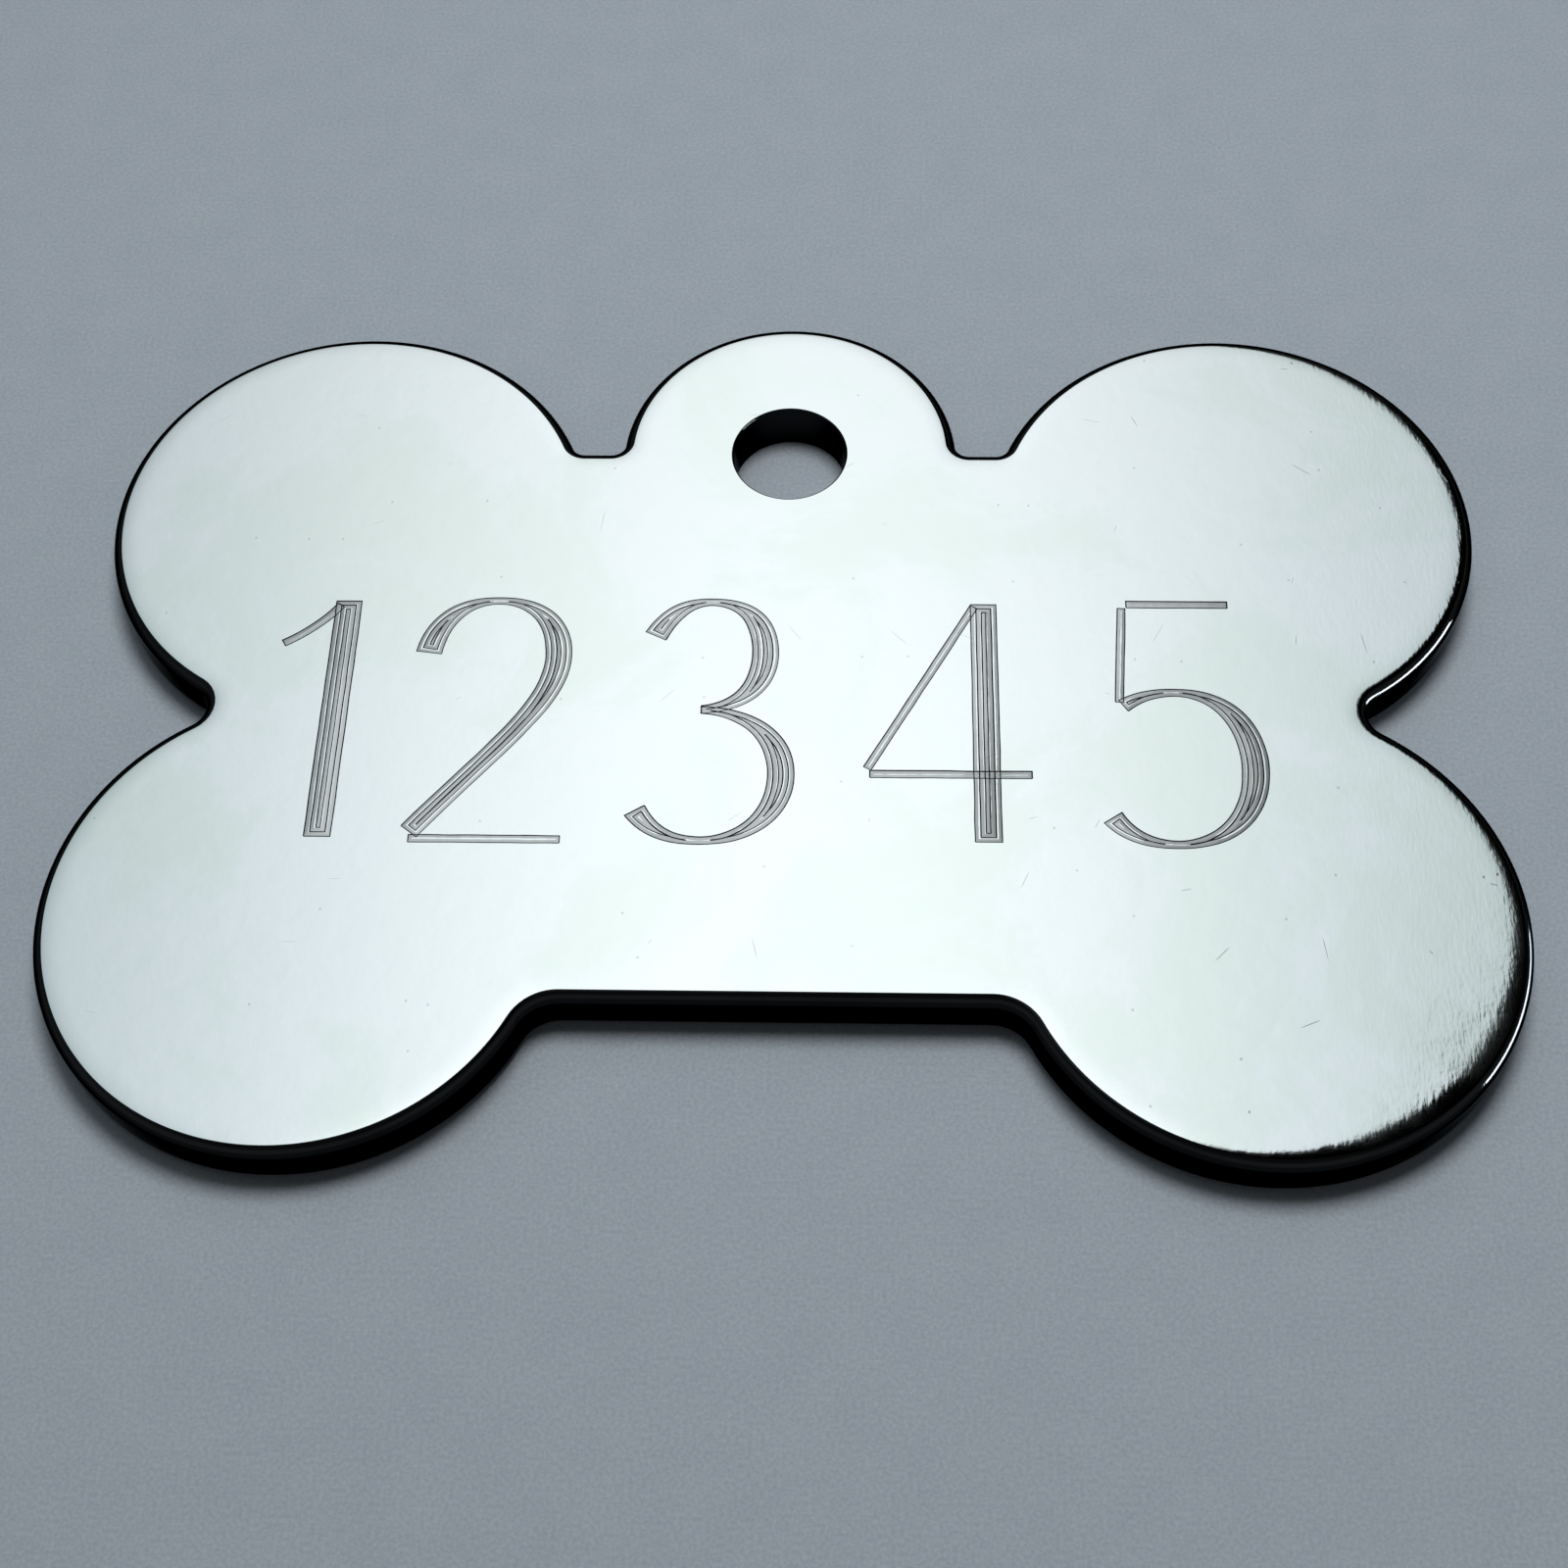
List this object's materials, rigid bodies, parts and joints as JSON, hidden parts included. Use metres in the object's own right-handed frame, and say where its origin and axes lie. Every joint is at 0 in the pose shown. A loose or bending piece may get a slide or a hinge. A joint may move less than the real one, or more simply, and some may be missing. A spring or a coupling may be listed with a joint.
{
  "type": "pet id tag",
  "caption": "Flat bone-shaped steel tag with rounded lobes, tumbled edges and an ear at the middle of its top edge with a hole for a ring.",
  "frame": {"origin": "on the back of the plate, under the middle of the outline's bounding box", "axes": "+X across the lobes to the right, +Y from the lower waist towards the ear, +Z out of the engraved front face"},
  "size_m": [0.038, 0.0262, 0.0015],
  "materials": {
    "polished_steel": "mirror-polished stainless steel with fine handling scratches"
  },
  "bodies": {
    "root": {"tag": "polished_steel"}
  },
  "joints": []
}
